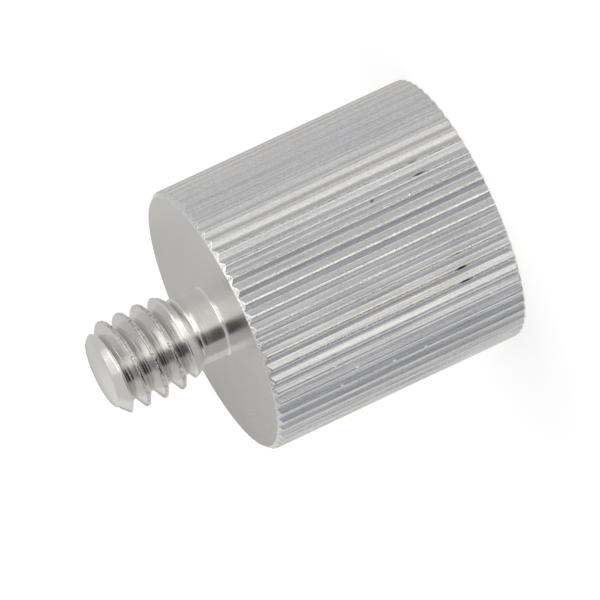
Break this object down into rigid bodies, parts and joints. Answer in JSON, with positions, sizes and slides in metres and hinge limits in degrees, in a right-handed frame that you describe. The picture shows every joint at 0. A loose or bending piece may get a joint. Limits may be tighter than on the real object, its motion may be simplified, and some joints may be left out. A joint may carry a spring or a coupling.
{
  "type": "tripod adapter",
  "caption": "Straight-knurled aluminium thread adapter with a male 1/4-20 stud on its front and a tapped 3/8-16 socket in its open end.",
  "frame": {"origin": "centre of the open end, in the plane that the adapter stands on", "axes": "+Z along the adapter's axis, from the open end to the tip of the stud"},
  "size_m": [0.018, 0.018, 0.0259],
  "materials": {
    "bright_aluminium": "bright turned aluminium alloy, uncoated, with a rolled straight knurl and a fine-turned front face"
  },
  "bodies": {
    "root": {"adapter_body": "bright_aluminium"}
  },
  "joints": []
}
